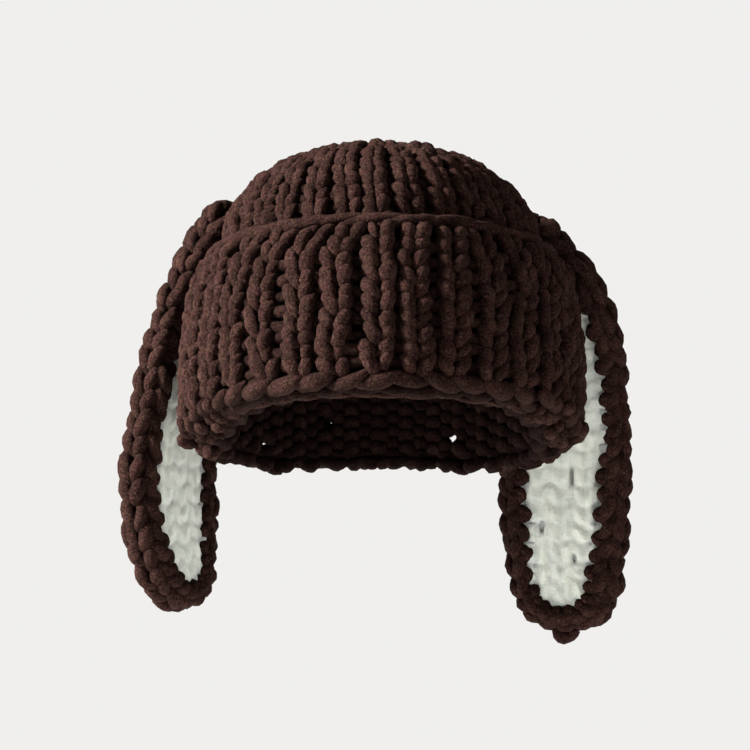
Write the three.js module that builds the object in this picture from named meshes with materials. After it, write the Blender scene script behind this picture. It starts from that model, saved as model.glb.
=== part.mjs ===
// A chunky knitted beanie with a turned-up brim and two long floppy ears.
// Millimetres, +Z up. The wearer faces -Y, and the ears are named as seen from the front:
// ear_left hangs on the -X side. The origin is the highest point of the head space.

import * as THREE from 'three';

// Head space and the knitted layers round it
const headHalfWidth = 80;        // inner half width at the rim, side to side
const longerBy = 18;             // every half length (front to back) is this much longer
const layer = 14;                // one knitted layer: two yarn diameters
const clearance = 0.3;           // gap between neighbouring pieces
const tiltBack = 9.5;            // degrees: the front of the rim is worn higher than the back

// Crown: a wall up to the shoulder, then a dome of a quarter ellipse
const shoulderHeight = 105;
const shoulderHalfWidth = 86.6;
const domeRise = 54;
const topShift = -3;             // the gathered top sits a little towards -X

// Knitted columns (wales) round the cap, each two legs and a groove
const wales = 32;
const pointsPerWale = 3;
const around = wales * pointsPerWale;
const frontTurn = Math.PI / wales;  // the middle of a wale faces the front
const legRise = 1.2;             // legs stand out of the mean surface, grooves lie under it
const grooveDepth = 1.8;

// The rim is not flat: angles from the front, heights over the middle of the rim
const rim = [
  { angle: 0, height: 5 },
  { angle: 42, height: 4 },
  { angle: 62, height: -0.5 },
  { angle: 90, height: -9 },
  { angle: 125, height: -6 },
  { angle: 180, height: 0 },
];
const rimFadesBy = 60;           // height over which the rows above become level again

// Where crown and brim lie on each other
const contactRows = [
  { height: 1.5, halfWidth: 94 },
  { height: 20, halfWidth: 94 },
  { height: 50, halfWidth: 93.4 },
  { height: 78, halfWidth: 91 },
  { height: 91, halfWidth: 88.8 },
  { height: 97, halfWidth: 88 },
];

// Inside of the crown below the shoulder, and its rounded lower edge
const insideRows = [
  { height: 80, halfWidth: 77.6 },
  { height: 50, halfWidth: 79.6 },
  { height: 13, halfWidth: headHalfWidth },
];
const crownEdgeRows = [
  { height: 4.5, halfWidth: 82.6 },
  { height: 0.6, halfWidth: 87 },
  { height: 0, halfWidth: 92.4 },
];

// Outside of the turned-up brim, from its folded lower edge to the crest
const brimRows = [
  { height: 0.4, halfWidth: 95.6, rib: 0 },
  { height: 2.6, halfWidth: 99.6, rib: 0.3 },
  { height: 11, halfWidth: 105, rib: 0.7 },
  { height: 26, halfWidth: 108, rib: 1 },
  { height: 45, halfWidth: 108, rib: 1 },
  { height: 62, halfWidth: 106.6, rib: 1 },
  { height: 78, halfWidth: 103.6, rib: 1 },
  { height: 90, halfWidth: 98.6, rib: 0.8 },
  { height: 97, halfWidth: 94, rib: 0.4 },
  { height: 100, halfWidth: 90, rib: 0 },
];

// Dome rings as angles up from the shoulder; fewer points where they gather at the top
const outerDomeRings = [
  { angle: 0, points: around, rib: 1 },
  { angle: 13, points: around, rib: 1 },
  { angle: 26, points: around, rib: 1 },
  { angle: 39, points: around, rib: 0.9 },
  { angle: 52, points: around, rib: 0.7 },
  { angle: 64, points: around / 2, rib: 0 },
  { angle: 76, points: around / 4, rib: 0 },
];
const innerDomeRings = [
  { angle: 74, points: around / 4 },
  { angle: 56, points: around / 2 },
  { angle: 37, points: around / 2 },
  { angle: 18, points: around / 2 },
  { angle: 0, points: around / 2 },
];

// Ears, from the root sewn to the crown down to the tip. Each row is a cross-section whose centre
// is at x, y and height over the middle of the rim. yaw turns its width away from the X axis,
// halfWidth and halfThick are its size, panel is half the width of the white front panel, and wrap
// is how far its two edges bend towards the head.
const rightEar = [
  { height: 120, x: 75.3, y: 76, yaw: 61, halfWidth: 22, halfThick: 8, panel: 0, wrap: 3 },
  { height: 113, x: 81.5, y: 79, yaw: 61, halfWidth: 28, halfThick: 10.5, panel: 0, wrap: 4 },
  { height: 100, x: 92.5, y: 80, yaw: 60, halfWidth: 30.5, halfThick: 11, panel: 11, wrap: 3 },
  { height: 85, x: 100.5, y: 82, yaw: 56, halfWidth: 33, halfThick: 11, panel: 15, wrap: 2 },
  { height: 70, x: 104, y: 86, yaw: 49, halfWidth: 34.5, halfThick: 11, panel: 18, wrap: 0 },
  { height: 55, x: 105, y: 92, yaw: 40, halfWidth: 36, halfThick: 11, panel: 19.5, wrap: -1 },
  { height: 38, x: 105, y: 97, yaw: 32, halfWidth: 37.5, halfThick: 11, panel: 20.5, wrap: -1 },
  { height: 15, x: 104.2, y: 100, yaw: 25, halfWidth: 38.5, halfThick: 11, panel: 21, wrap: -1 },
  { height: -12, x: 104.5, y: 101, yaw: 21, halfWidth: 39.5, halfThick: 11, panel: 21, wrap: 0 },
  { height: -40, x: 104, y: 100, yaw: 20, halfWidth: 38.7, halfThick: 11, panel: 21, wrap: 0 },
  { height: -62, x: 103.6, y: 100, yaw: 20, halfWidth: 36.5, halfThick: 11, panel: 20, wrap: 0 },
  { height: -78, x: 104, y: 100, yaw: 20, halfWidth: 34.5, halfThick: 11, panel: 18, wrap: 0 },
  { height: -90, x: 104.8, y: 100, yaw: 20, halfWidth: 31.5, halfThick: 10.5, panel: 14, wrap: 0 },
  { height: -98, x: 105, y: 100, yaw: 20, halfWidth: 28, halfThick: 9.5, panel: 0, wrap: 0 },
  { height: -104, x: 105, y: 100, yaw: 20, halfWidth: 23, halfThick: 8, panel: 0, wrap: 0 },
  { height: -109, x: 104.6, y: 100, yaw: 20, halfWidth: 13, halfThick: 6.5, panel: 0, wrap: 0 },
  { height: -115.5, x: 104, y: 100, yaw: 20, halfWidth: 6.5, halfThick: 5, panel: 0, wrap: 0 },
];
const leftEar = [
  { height: 126.5, x: 81.8, y: 62.6, yaw: 71, halfWidth: 22, halfThick: 8, panel: 0, wrap: 3 },
  { height: 119, x: 88.4, y: 64.5, yaw: 71, halfWidth: 27, halfThick: 10.5, panel: 0, wrap: 4 },
  { height: 106, x: 95.5, y: 65, yaw: 71, halfWidth: 28.5, halfThick: 11, panel: 11, wrap: 3 },
  { height: 89, x: 104, y: 65, yaw: 70, halfWidth: 31, halfThick: 11, panel: 14, wrap: 3 },
  { height: 72, x: 110, y: 64, yaw: 68, halfWidth: 33, halfThick: 11, panel: 17, wrap: 3 },
  { height: 51, x: 114, y: 63, yaw: 65, halfWidth: 35.5, halfThick: 11, panel: 19, wrap: 3 },
  { height: 26, x: 116.5, y: 60, yaw: 63, halfWidth: 37.5, halfThick: 11, panel: 20, wrap: 2 },
  { height: 0, x: 118.5, y: 58, yaw: 61, halfWidth: 39, halfThick: 11, panel: 20.5, wrap: 1 },
  { height: -25, x: 119, y: 56, yaw: 60, halfWidth: 39.5, halfThick: 11, panel: 20.5, wrap: 0 },
  { height: -48, x: 117.8, y: 55, yaw: 60, halfWidth: 38.5, halfThick: 11, panel: 20.5, wrap: 0 },
  { height: -62, x: 116, y: 55, yaw: 60, halfWidth: 36.5, halfThick: 11, panel: 18.5, wrap: 0 },
  { height: -75, x: 114, y: 55, yaw: 60, halfWidth: 32, halfThick: 10.5, panel: 14, wrap: 0 },
  { height: -82, x: 112.8, y: 55, yaw: 60, halfWidth: 27.5, halfThick: 9.5, panel: 0, wrap: 0 },
  { height: -87.5, x: 111.6, y: 55, yaw: 60, halfWidth: 22, halfThick: 8, panel: 0, wrap: 0 },
  { height: -92.5, x: 110.6, y: 55, yaw: 60, halfWidth: 12.5, halfThick: 5, panel: 0, wrap: 0 },
];

// Half of an ear's cross-section, back centre to front: shares of half width and half thickness
const shellOutline = [
  { across: 0.14, out: -1 },
  { across: 0.34, out: -0.98 },
  { across: 0.43, out: -0.84 },
  { across: 0.54, out: -0.96 },
  { across: 0.74, out: -0.84 },
  { across: 0.91, out: -0.5 },
  { across: 1, out: -0.04 },
  { across: 0.97, out: 0.42 },
  { across: 0.89, out: 0.84 },
  { across: 0.78, out: 1 },
  { across: 0.69, out: 0.84 },
];
const backGroove = -0.86;
const borderTop = 0.96;          // inner edge of the border, beside the panel
const recessFloor = 0.1;         // the panel lies in a recess down to here
const panelFace = 0.8;
const panelOutline = [
  { across: 1, out: recessFloor },
  { across: 1, out: 0.62 },
  { across: 0.8, out: panelFace },
  { across: 0.5, out: panelFace - 0.08 },
  { across: 0.24, out: panelFace },
];
const panelGroove = panelFace - 0.08;
const recessEnd = 0.06;          // share of a row's step that a recess end takes
const recessSlope = 1;           // the recess is this much wider at its lip than at its floor
const closedLip = 0.5;           // where lip and floor lie in a row without a recess,
const closedFloor = 0.46;        // as shares of the half width

const yarn = {
  brown: new THREE.MeshStandardMaterial({ color: 0x5a4139, roughness: 0.95, metalness: 0 }),
  white: new THREE.MeshStandardMaterial({ color: 0xe2e5e0, roughness: 0.95, metalness: 0 }),
};

const radians = THREE.MathUtils.degToRad;
const mix = THREE.MathUtils.lerp;

// Height of the rim at an angle measured from the front
function rimHeight(angle) {
  const turned = THREE.MathUtils.radToDeg(Math.acos(Math.cos(angle)));
  const next = Math.max(1, rim.findIndex((row) => row.angle >= turned - 1e-6));
  const [low, high] = [rim[next - 1], rim[next]];
  const share = THREE.MathUtils.smoothstep(turned, low.angle, high.angle);
  return mix(low.height, high.height, share);
}

// One ring of points round the cap, starting in the groove beside the front wale
function capRing(halfWidth, halfLength, height, points, rib = 0) {
  const fade = Math.max(0, 1 - height / rimFadesBy);
  return Array.from({ length: points }, (_, i) => {
    const angle = (2 * Math.PI * i) / points + frontTurn;
    const groove = i % pointsPerWale === 0;
    const push = rib * (groove ? -grooveDepth : legRise);
    return new THREE.Vector3(
      (halfWidth + push) * Math.sin(angle),
      -(halfLength + push) * Math.cos(angle),
      height + fade * rimHeight(angle));
  });
}

function wallRing(row, points, outBy = 0) {
  const halfWidth = row.halfWidth + outBy;
  return capRing(halfWidth, halfWidth + longerBy, row.height, points, row.rib);
}

function domeRing(ring, inset) {
  const reach = Math.cos(radians(ring.angle));
  const halfWidth = (shoulderHalfWidth - inset) * reach;
  const halfLength = (shoulderHalfWidth - inset + longerBy) * reach;
  const height = shoulderHeight + (domeRise - inset) * Math.sin(radians(ring.angle));
  const points = capRing(halfWidth, halfLength, height, ring.points, ring.rib);
  const shift = topShift * Math.sin(radians(ring.angle));
  for (const point of points) point.x += shift;
  return points;
}

// Joins rings of points into one closed surface. A ring may have half the points of the next.
// The ends close to a point each, or, with loop, the last ring joins the first.
function loft(rings, { loop = false, ends = [] } = {}) {
  const starts = [];
  const points = [];
  for (const ring of rings) {
    starts.push(points.length);
    points.push(...ring);
  }
  const faces = [];
  const joinEqual = (a, b, count) => {
    for (let i = 0; i < count; i++) {
      const j = (i + 1) % count;
      faces.push([a + i, a + j, b + i], [a + j, b + j, b + i]);
    }
  };
  const joinHalf = (fine, coarse, count, flip) => {
    for (let i = 0; i < count; i++) {
      const next = (i + 1) % count;
      const left = fine + 2 * i;
      const right = fine + ((2 * i + 2) % (2 * count));
      const fan = [
        [left, left + 1, coarse + i],
        [left + 1, right, coarse + next],
        [left + 1, coarse + next, coarse + i],
      ];
      faces.push(...fan.map(([a, b, c]) => (flip ? [a, c, b] : [a, b, c])));
    }
  };
  const pairs = loop ? rings.length : rings.length - 1;
  for (let r = 0; r < pairs; r++) {
    const s = (r + 1) % rings.length;
    const [countA, countB] = [rings[r].length, rings[s].length];
    if (countA === countB) joinEqual(starts[r], starts[s], countA);
    else if (countA > countB) joinHalf(starts[r], starts[s], countB, false);
    else joinHalf(starts[s], starts[r], countA, true);
  }
  if (!loop) {
    const last = rings.length - 1;
    const tips = [
      { start: starts[0], count: rings[0].length, tip: ends[0], flip: false },
      { start: starts[last], count: rings[last].length, tip: ends[1], flip: true },
    ];
    for (const { start, count, tip, flip } of tips) {
      points.push(tip);
      for (let i = 0; i < count; i++) {
        const [a, b] = [start + i, start + ((i + 1) % count)];
        faces.push(flip ? [a, b, points.length - 1] : [b, a, points.length - 1]);
      }
    }
  }
  return solid(points, faces);
}

// A geometry from shared points, turned inside out if its faces point inwards
function solid(points, faces) {
  let volume = 0;
  for (const [a, b, c] of faces) {
    volume += points[a].dot(new THREE.Vector3().crossVectors(points[b], points[c]));
  }
  const outward = volume > 0 ? faces : faces.map(([a, b, c]) => [a, c, b]);
  const geometry = new THREE.BufferGeometry();
  geometry.setAttribute('position',
    new THREE.Float32BufferAttribute(points.flatMap((p) => [p.x, p.y, p.z]), 3));
  geometry.setIndex(outward.flat());
  geometry.computeVertexNormals();
  return geometry;
}

// The inner surface of the crown, from its top down to the rim
function insideRings() {
  const dome = innerDomeRings.map((ring) => domeRing(ring, layer));
  const wall = insideRows.map((row) => wallRing(row, around / 2));
  return [...dome, ...wall];
}

function makeCrown() {
  const rings = [
    ...insideRings(),
    ...crownEdgeRows.map((row) => wallRing(row, around)),
    ...contactRows.map((row) => wallRing(row, around, -clearance / 2)),
    ...outerDomeRings.map((ring) => domeRing(ring, 0)),
  ];
  const apex = (inset) => new THREE.Vector3(topShift, 0, shoulderHeight + domeRise - inset);
  return loft(rings, { ends: [apex(layer), apex(0)] });
}

function makeBrim() {
  const outside = brimRows.map((row) => wallRing(row, around));
  const inside = contactRows.map((row) => wallRing(row, around, clearance / 2)).reverse();
  return loft([...outside, ...inside], { loop: true });
}

// The section of an ear at a place between its rows, with its axes
function earSection(rows, place) {
  const low = Math.min(Math.floor(place), rows.length - 2);
  const share = place - low;
  const value = (column) => mix(rows[low][column], rows[low + 1][column], share);
  const centre = (row) => new THREE.Vector3(row.x, row.y, row.height);
  const directionAt = (i) => {
    const above = centre(rows[Math.max(i - 1, 0)]);
    const below = centre(rows[Math.min(i + 1, rows.length - 1)]);
    return below.sub(above).normalize();
  };
  const down = directionAt(low).lerp(directionAt(low + 1), share).normalize();
  const yaw = radians(value('yaw'));
  const outward = new THREE.Vector3(Math.cos(yaw), -Math.sin(yaw), 0);
  outward.addScaledVector(down, -outward.dot(down)).normalize();
  return {
    centre: new THREE.Vector3(value('x'), value('y'), value('height')),
    outward,
    face: new THREE.Vector3().crossVectors(down, outward),
    halfWidth: value('halfWidth'),
    halfThick: value('halfThick'),
    panel: value('panel'),
    wrap: value('wrap'),
  };
}

// A point of a section, across its width and out towards its front face, both in millimetres
function earPoint(section, across, out, side) {
  const bend = section.wrap * (across / section.halfWidth) ** 2;
  const point = section.centre.clone()
    .addScaledVector(section.outward, across)
    .addScaledVector(section.face, out + bend);
  point.x *= side;
  return point;
}

function mirrored(half, middleBack, middleFront) {
  const other = half.map(([across, out]) => [-across, out]).reverse();
  return [[0, middleBack], ...half, [0, middleFront], ...other];
}

function shellRing(rows, place, open, side) {
  const section = earSection(rows, place);
  const { halfWidth, halfThick } = section;
  const floor = open ? section.panel + clearance : closedFloor * halfWidth;
  const lip = open ? floor + recessSlope : closedLip * halfWidth;
  const depth = open ? recessFloor * halfThick - clearance : borderTop * halfThick;
  const half = shellOutline.map(({ across, out }) => [across * halfWidth, out * halfThick]);
  half.push([lip, borderTop * halfThick], [floor, depth]);
  return mirrored(half, backGroove * halfThick, depth)
    .map(([across, out]) => earPoint(section, across, out, side));
}

function panelRing(rows, place, side) {
  const section = earSection(rows, place);
  const half = panelOutline.map(({ across, out }) => [
    across * section.panel, out * section.halfThick]);
  return mirrored(half, recessFloor * section.halfThick, panelGroove * section.halfThick)
    .map(([across, out]) => earPoint(section, across, out, side));
}

function middle(ring) {
  const sum = ring.reduce((total, point) => total.add(point), new THREE.Vector3());
  return sum.divideScalar(ring.length);
}

function makeEarShell(rows, side) {
  const first = rows.findIndex((row) => row.panel > 0);
  const last = rows.findLastIndex((row) => row.panel > 0);
  const rings = rows.flatMap((row, i) => {
    const ring = shellRing(rows, i, row.panel > 0, side);
    if (i === first) return [shellRing(rows, i - recessEnd, false, side), ring];
    if (i === last) return [ring, shellRing(rows, i + recessEnd, false, side)];
    return [ring];
  });
  return loft(rings, { ends: [middle(rings[0]), middle(rings.at(-1))] });
}

function makeEarPanel(rows, side) {
  const first = rows.findIndex((row) => row.panel > 0);
  const last = rows.findLastIndex((row) => row.panel > 0);
  const places = rows.map((_, i) => i).slice(first, last + 1);
  places[0] += recessEnd;
  places[places.length - 1] -= recessEnd;
  const rings = places.map((place) => panelRing(rows, place, side));
  return loft(rings, { ends: [middle(rings[0]), middle(rings.at(-1))] });
}

function named(name, geometry, material) {
  const mesh = new THREE.Mesh(geometry, material);
  mesh.name = name;
  return mesh;
}

// Crown and brim are modelled upright, then tipped back together
const cap = new THREE.Group();
cap.rotation.x = radians(-tiltBack);
cap.add(named('crown', makeCrown(), yarn.brown));
cap.add(named('brim', makeBrim(), yarn.brown));
cap.updateMatrix();

const beanie = new THREE.Group();
beanie.add(cap);
for (const [name, rows, side] of [['ear_left', leftEar, -1], ['ear_right', rightEar, 1]]) {
  const ear = new THREE.Group();
  ear.add(named(`${name}_shell`, makeEarShell(rows, side), yarn.brown));
  ear.add(named(`${name}_lining`, makeEarPanel(rows, side), yarn.white));
  beanie.add(ear);
}

// The top of the head bears on the highest point inside, and that point is the origin
const headSeat = insideRings().flat()
  .map((point) => point.applyMatrix4(cap.matrix))
  .reduce((best, point) => (point.z > best.z ? point : best));
beanie.position.copy(headSeat).negate();

export default beanie;
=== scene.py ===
import itertools
import math

import bpy
import numpy as np
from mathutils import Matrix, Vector


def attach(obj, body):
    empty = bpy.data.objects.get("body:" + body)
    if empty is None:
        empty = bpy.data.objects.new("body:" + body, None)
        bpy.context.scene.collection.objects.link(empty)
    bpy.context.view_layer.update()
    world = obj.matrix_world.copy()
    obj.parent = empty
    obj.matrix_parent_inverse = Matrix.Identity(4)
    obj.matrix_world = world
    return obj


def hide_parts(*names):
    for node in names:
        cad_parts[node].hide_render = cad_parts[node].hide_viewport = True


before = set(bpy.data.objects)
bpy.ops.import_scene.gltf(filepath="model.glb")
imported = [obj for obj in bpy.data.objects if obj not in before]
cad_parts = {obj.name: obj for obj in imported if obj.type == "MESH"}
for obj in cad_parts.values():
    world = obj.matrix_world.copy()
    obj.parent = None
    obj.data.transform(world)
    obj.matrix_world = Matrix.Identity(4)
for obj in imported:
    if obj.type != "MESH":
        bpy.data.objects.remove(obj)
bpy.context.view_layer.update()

# Knitted beanie with rabbit ears. The hat is in millimetres in the CAD model's frame, and only
# newPiece turns it into metres. The camera, the lights and the floor are in metres.

mm = 0.001
tau = 2 * math.pi


def newObject(name, data):
    made = bpy.data.objects.new(name, data)
    bpy.context.scene.collection.objects.link(made)
    return made


# Curves and tables

def spline(p0, p1, p2, p3, t):
    # A smooth curve from p1 to p2, with their neighbours p0 and p3
    return 0.5 * (2 * p1 + (p2 - p0) * t + (2 * p0 - 5 * p1 + 4 * p2 - p3) * t ** 2
                  + (3 * p1 - p0 - 3 * p2 + p3) * t ** 3)


def smoothTable(points, perSpan=10):
    # A smooth curve through the points
    p = np.array(points, float)
    before = np.vstack([2 * p[0] - p[1], p[:-1]])
    after = np.vstack([p[1:], 2 * p[-1] - p[-2]])
    t = (np.arange(perSpan) / perSpan)[:, None]
    rows = [spline(before[k], p[k], p[k + 1], after[k + 1], t) for k in range(len(p) - 1)]
    return np.vstack(rows + [p[-1:]])


def withLength(curve, columns):
    # The curve with its running length in front, measured over some of its columns
    steps = np.linalg.norm(np.diff(curve[:, columns], axis=0), axis=1)
    return np.column_stack([np.concatenate([[0], np.cumsum(steps)]), curve])


def along(table, s):
    # Values of a table at the lengths s, going straight on past its ends
    s = np.asarray(s, float)
    out = [np.interp(s, table[:, 0], table[:, c]) for c in range(1, table.shape[1])]
    firstRun = (table[1, 1:] - table[0, 1:]) / (table[1, 0] - table[0, 0])
    lastRun = (table[-1, 1:] - table[-2, 1:]) / (table[-1, 0] - table[-2, 0])
    low = np.minimum(s - table[0, 0], 0)
    high = np.maximum(s - table[-1, 0], 0)
    return [v + low * a + high * b for v, a, b in zip(out, firstRun, lastRun)]


def unit(vectors):
    return vectors / np.maximum(np.linalg.norm(vectors, axis=-1, keepdims=True), 1e-9)


def liftOff(surface, u, v, z, du, dv):
    # Points of surface(u, v) raised by z along its own normal, and that normal
    p = surface(u, v)
    alongU = surface(u + du, v) - surface(u - du, v)
    alongV = surface(u, v + dv) - surface(u, v - dv)
    normal = unit(np.cross(alongU, alongV))
    return p + normal * np.asarray(z)[:, None], normal


def bell(x, width):
    return np.exp(-(x / width) ** 2)


# Yarn: round tubes swept along a path, with the small lumps of chenille, and a height attribute that
# carries painted shade to the material

yarnLook = {
    "lump": 0.045,            # how uneven the thickness is, as a share
    "crinkle": 0.8,           # the same along the path, as a share of the lumps
    "wide": 1.02,
    "deep": 0.98,
    "tipOut": 0.6,            # how far the point of an end stands out, in radii
    # the heights set painted shade: the deeper the yarn lies, the darker it is painted
    "paintedShadeDepthWeight": 1.2,       # weight of the yarn's own depth in the heights
}


class Yarn:
    def __init__(self, seed, lump=yarnLook["lump"]):
        self.random = np.random.default_rng(seed)
        self.lump = lump
        self.points, self.faces, self.heights = [], [], []
        self.count = 0

    def lay(self, path, normals, radii, heights, sides, closed=False):
        # heights: how far the yarn's middle stands out of the knitting, 0 at the front, in radii. With
        # the tube's own side they make the height attribute, from which the material paints shade deep
        # in the knitting and on the yarn's inner side.
        look = yarnLook
        if closed:
            run = np.roll(path, -1, axis=0) - np.roll(path, 1, axis=0)
        else:
            run = np.gradient(path, axis=0)
        run = unit(run)
        across = unit(np.cross(run, normals))
        up = np.cross(across, run)
        turn = tau * np.arange(sides) / sides
        fuzz = 1 + self.lump * self.random.standard_normal((len(path), sides))
        crinkle = 1 + look["crinkle"] * self.lump * self.random.standard_normal(len(path))
        r = (radii * crinkle)[:, None] * fuzz
        ring = (path[:, None, :] + (r * np.cos(turn) * look["wide"])[:, :, None] * across[:, None, :]
                + (r * np.sin(turn) * look["deep"])[:, :, None] * up[:, None, :])
        n = len(path)
        first = self.count
        depth = look["paintedShadeDepthWeight"] * heights
        self.points.append(ring.reshape(-1, 3))
        # painted shade values: the yarn's depth plus the side of the tube, lower on its inner side
        self.heights.append((depth[:, None] + np.sin(turn)).reshape(-1))
        self.count += n * sides
        i = np.arange(n if closed else n - 1)[:, None]
        j = np.arange(sides)
        beside = (j + 1) % sides
        here, there = first + i * sides, first + (i + 1) % n * sides
        corners = [here + j, here + beside, there + beside, there + j]
        self.faces.append(np.stack(corners, axis=-1).reshape(-1, 4))
        if not closed:
            self.layTip(path[0] - look["tipOut"] * run[0] * radii[0], depth[0], first, sides, False)
            last = first + (n - 1) * sides
            self.layTip(path[-1] + look["tipOut"] * run[-1] * radii[-1], depth[-1], last, sides, True)

    def layTip(self, tip, height, ringStart, sides, forward):
        # A fan that closes the end of a tube. A face whose last corner repeats is a triangle.
        j = np.arange(sides)
        p = ringStart + j
        q = ringStart + (j + 1) % sides
        fan = np.stack([p, q] if forward else [q, p], axis=-1)
        self.points.append(tip[None, :])
        self.heights.append(np.array([height]))
        self.faces.append(np.column_stack([fan, np.full(sides, self.count), fan[:, 0]]))
        self.count += 1

    def laySheet(self, grid, heights):
        # grid and heights: points in rows and columns
        down, across = grid.shape[:2]
        a = self.count + np.arange(down - 1)[:, None] * across + np.arange(across - 1)
        self.points.append(grid.reshape(-1, 3))
        self.heights.append(heights.reshape(-1))
        self.faces.append(np.stack([a, a + 1, a + across + 1, a + across], axis=-1).reshape(-1, 4))
        self.count += down * across

    def newPiece(self, name, material):
        points = np.vstack(self.points) * mm
        faces = [f[:3] if f[3] == f[0] else f for f in np.vstack(self.faces).tolist()]
        mesh = bpy.data.meshes.new(name)
        mesh.from_pydata(points.tolist(), [], faces)
        mesh.polygons.foreach_set("use_smooth", np.ones(len(mesh.polygons), bool))
        mesh.materials.append(material)
        # the height attribute carries the painted shade of deep yarn to the material
        mesh.attributes.new("height", "FLOAT", "POINT")
        mesh.attributes["height"].data.foreach_set("value", np.concatenate(self.heights))
        print(name, "triangles", sum(len(f) - 2 for f in faces))
        return newObject(name, mesh)


# Stocking stitch, stretched sideways. Half a stitch of one row as a path of key points:
# x across in wales, y up in rows, z out in yarn radii, and the yarn's thickness there.

slantedLeg = [
    (-0.50, 0.00, -1.02, 0.90),   # rung in the groove between two wales
    (-0.37, 0.02, -1.06, 0.90),
    (-0.12, 0.20, -1.12, 0.86),
    (-0.105, 0.56, -0.20, 1.00),  # leg in front
    (-0.19, 1.00, 0.10, 1.05),
    (-0.285, 1.40, -0.24, 1.00),
    (-0.29, 1.72, -1.25, 0.84),
    (0.00, 1.96, -1.95, 0.74),    # head of the loop, behind the next row
]
roundLeg = [                      # the other leg is steeper and shows as a stack of flat beads
    (-0.50, 0.00, -1.02, 0.90),
    (-0.37, 0.04, -1.06, 0.90),
    (-0.18, 0.26, -1.10, 0.90),
    (-0.175, 0.56, -0.24, 1.04),
    (-0.205, 0.92, 0.04, 1.10),
    (-0.24, 1.27, -0.20, 1.06),
    (-0.26, 1.58, -1.10, 0.92),
    (0.00, 1.96, -1.95, 0.74),
]
purlLeg = [                       # seen from behind: heads and rungs stand out as bumps
    (-0.50, 0.14, -1.75, 1.12),
    (-0.33, 0.30, -1.45, 0.95),
    (-0.16, 0.44, -0.90, 0.92),
    (-0.155, 0.82, 0.00, 1.00),
    (-0.20, 1.30, -0.30, 0.95),
    (-0.18, 1.60, -1.45, 1.00),
    (0.00, 1.82, -2.15, 1.16),
]
relaxedLeg = [                    # the ears are knitted more loosely, with rounder loops
    (-0.50, 0.10, -1.60, 0.80),
    (-0.30, 0.02, -1.50, 0.85),
    (-0.10, 0.20, -1.00, 0.88),
    (-0.14, 0.56, -0.10, 1.05),
    (-0.25, 0.98, 0.12, 1.12),
    (-0.36, 1.35, -0.35, 1.00),
    (-0.34, 1.65, -1.20, 0.80),
    (0.00, 1.85, -1.70, 0.75),
]
mattedLeg = [                     # the white yarn lies nearly flat under its matted pile
    (-0.50, 0.10, -0.75, 0.92),
    (-0.32, 0.02, -0.60, 0.98),
    (-0.12, 0.20, -0.35, 1.02),
    (-0.14, 0.56, -0.05, 1.08),
    (-0.25, 0.98, 0.05, 1.12),
    (-0.36, 1.35, -0.10, 1.04),
    (-0.34, 1.65, -0.50, 0.92),
    (0.00, 1.85, -0.95, 0.85),
]
legFrom = -1.3                    # key points that stand further out belong to a leg, in radii
slantVaries = 1.5                 # how much a leg's slant varies against its height


def stitchKeys(leftLeg, rightLeg):
    right = np.array(rightLeg)[::-1][1:-1] * np.array([-1, 1, 1, 1])
    return np.vstack([np.array(leftLeg), right])


def smoothPath(keys, roundBy=None):
    # A smooth path through the key points and halfway between them. A row that closes
    # on itself after roundBy wales has its neighbours across the seam moved by that many.
    if roundBy:
        turn = np.array([roundBy, 0, 0, 0])
        padded = np.vstack([keys[-1:] - turn, keys, keys[:2] + turn])
    else:
        padded = np.vstack([2 * keys[0] - keys[1], keys, 2 * keys[-1] - keys[-2]])
    spans = padded[:-3], padded[1:-2], padded[2:-1], padded[3:]
    parts = [spline(*spans, t) for t in (0, 0.5)]
    path = np.stack(parts, axis=1).reshape(-1, keys.shape[1])
    return path if roundBy else np.vstack([path, keys[-1:]])


def courseKeys(random, wales, look):
    # Key points of a whole row, each stitch a little different. The wales from the front round
    # the right to mirrorTo are mirrored.
    firstLeg, secondLeg = look["legs"]
    usual = stitchKeys(firstLeg, secondLeg)
    mirrored = stitchKeys(secondLeg, firstLeg)
    keys = []
    for wale in wales:
        one = (mirrored if 0 < wale <= look.get("mirrorTo", 0) else usual).copy()
        front = one[:, 2] > legFrom
        for side in (-1, 1):
            leg = front & (np.sign(one[:, 0]) == side)
            one[leg, 0] += random.normal(0, look["sideways"])
            one[leg, 1] += random.normal(0, look["upDown"])
            one[leg, 1] += (one[leg, 1] - 0.5) * random.normal(0, look["upDown"] * slantVaries)
            one[leg, 2] += random.normal(0, look["inOut"])
            one[leg, 3] *= 1 + random.normal(0, look["thickness"])
        one[:, 0] += wale
        keys.append(one)
    return np.vstack(keys)


def wanderTable(random, wales, rows, amount):
    # How far each wale strays sideways, changing slowly from row to row
    margin = 3
    raw = random.normal(0, 1, (rows + 2 * margin, wales))
    kernel = np.array([1, 3, 5, 3, 1.0])
    kernel /= np.linalg.norm(kernel)
    smooth = np.stack([np.convolve(raw[:, w], kernel, "same") for w in range(wales)], axis=1)
    return amount * smooth[margin:rows + margin]


def strayOf(wander, place, wale):
    # Value of a wander table at places between its rows
    place = np.clip(place, 0, len(wander) - 1)
    low = np.floor(place).astype(int)
    high = np.minimum(low + 1, len(wander) - 1)
    share = place - low
    return wander[low, wale] * (1 - share) + wander[high, wale] * share


# Cap shape, and the camera, which also places the pinholes in its back wall

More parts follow.
